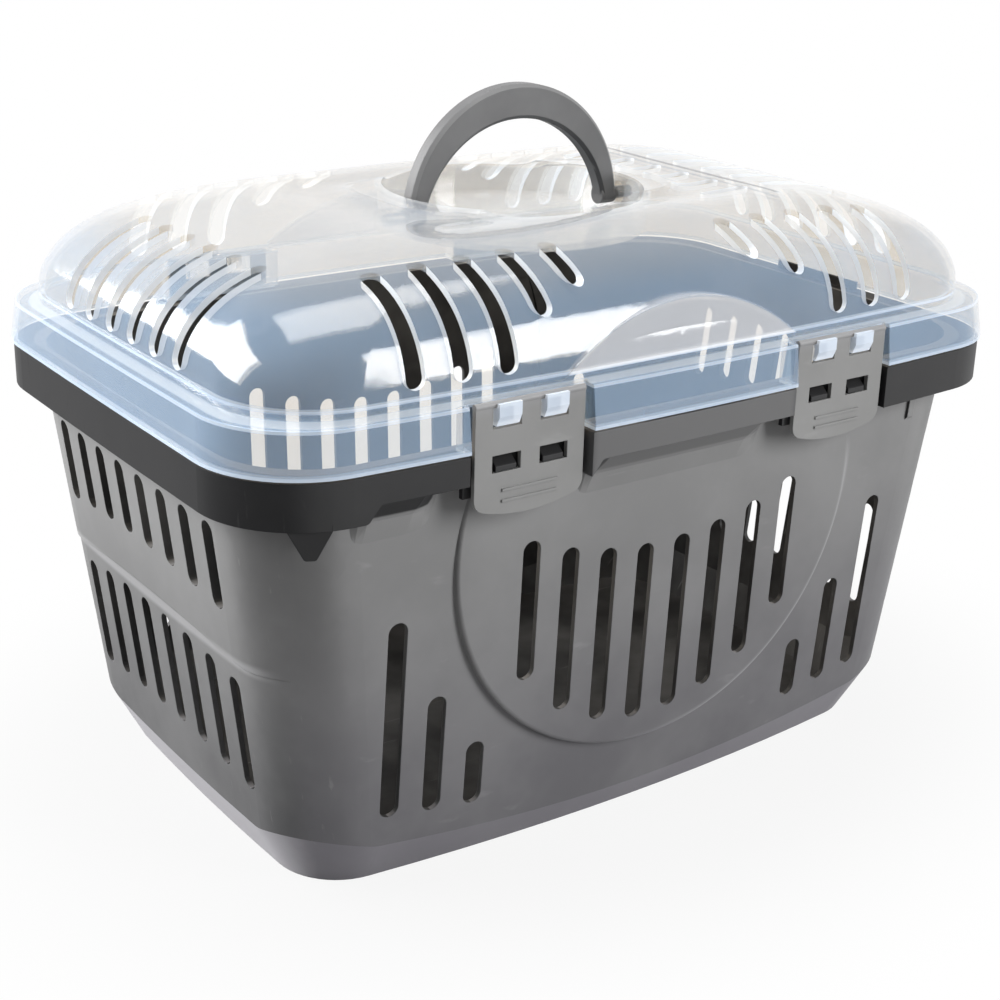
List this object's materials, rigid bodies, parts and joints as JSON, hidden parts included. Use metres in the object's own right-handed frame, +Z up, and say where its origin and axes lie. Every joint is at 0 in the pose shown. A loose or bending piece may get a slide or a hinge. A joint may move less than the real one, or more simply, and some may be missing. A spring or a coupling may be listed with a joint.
{
  "type": "pet carrier",
  "caption": "Slotted plastic carrier tub with a clear domed lid, hinged snap clips along both long sides and an arched carrying handle in a round well.",
  "frame": {"origin": "centre of the flat underside, on the surface that the carrier stands on", "axes": "+X along the carrier's length, -Y to the front with the clips in view, +Z up"},
  "size_m": [0.4618, 0.308, 0.351],
  "materials": {
    "tub_plastic": "satin",
    "clear_plastic": "clear, slightly hazy",
    "handle_plastic": "satin",
    "clip_plastic": "satin"
  },
  "bodies": {
    "base": {"base_tub": "tub_plastic"},
    "lid": {"lid": "clear_plastic"},
    "handle": {"handle": "handle_plastic"},
    "front_left_clip": {"front_left_clip": "clip_plastic"},
    "front_right_clip": {"front_right_clip": "clip_plastic"},
    "rear_left_clip": {"rear_left_clip": "clip_plastic"},
    "rear_right_clip": {"rear_right_clip": "clip_plastic"}
  },
  "joints": [
    {"name": "lid_hinge", "type": "hinge", "parent": "base", "child": "lid", "pos_m": [0, 0.1477, 0.242], "axis": [-1, 0, 0], "range_deg": [0, 100]},
    {"name": "handle_hinge", "type": "hinge", "parent": "lid", "child": "handle", "pos_m": [0, 0, 0.289], "axis": [1, 0, 0], "range_deg": [-90, 90]},
    {"name": "front_left_clip_hinge", "type": "hinge", "parent": "lid", "child": "front_left_clip", "pos_m": [-0.0945, -0.1477, 0.242], "axis": [-1, 0, 0], "range_deg": [0, 100]},
    {"name": "front_right_clip_hinge", "type": "hinge", "parent": "lid", "child": "front_right_clip", "pos_m": [0.0945, -0.1477, 0.242], "axis": [-1, 0, 0], "range_deg": [0, 100]},
    {"name": "rear_left_clip_hinge", "type": "hinge", "parent": "base", "child": "rear_left_clip", "pos_m": [-0.0945, 0.1477, 0.242], "axis": [1, 0, 0], "range_deg": [0, 60]},
    {"name": "rear_right_clip_hinge", "type": "hinge", "parent": "base", "child": "rear_right_clip", "pos_m": [0.0945, 0.1477, 0.242], "axis": [1, 0, 0], "range_deg": [0, 60]}
  ]
}
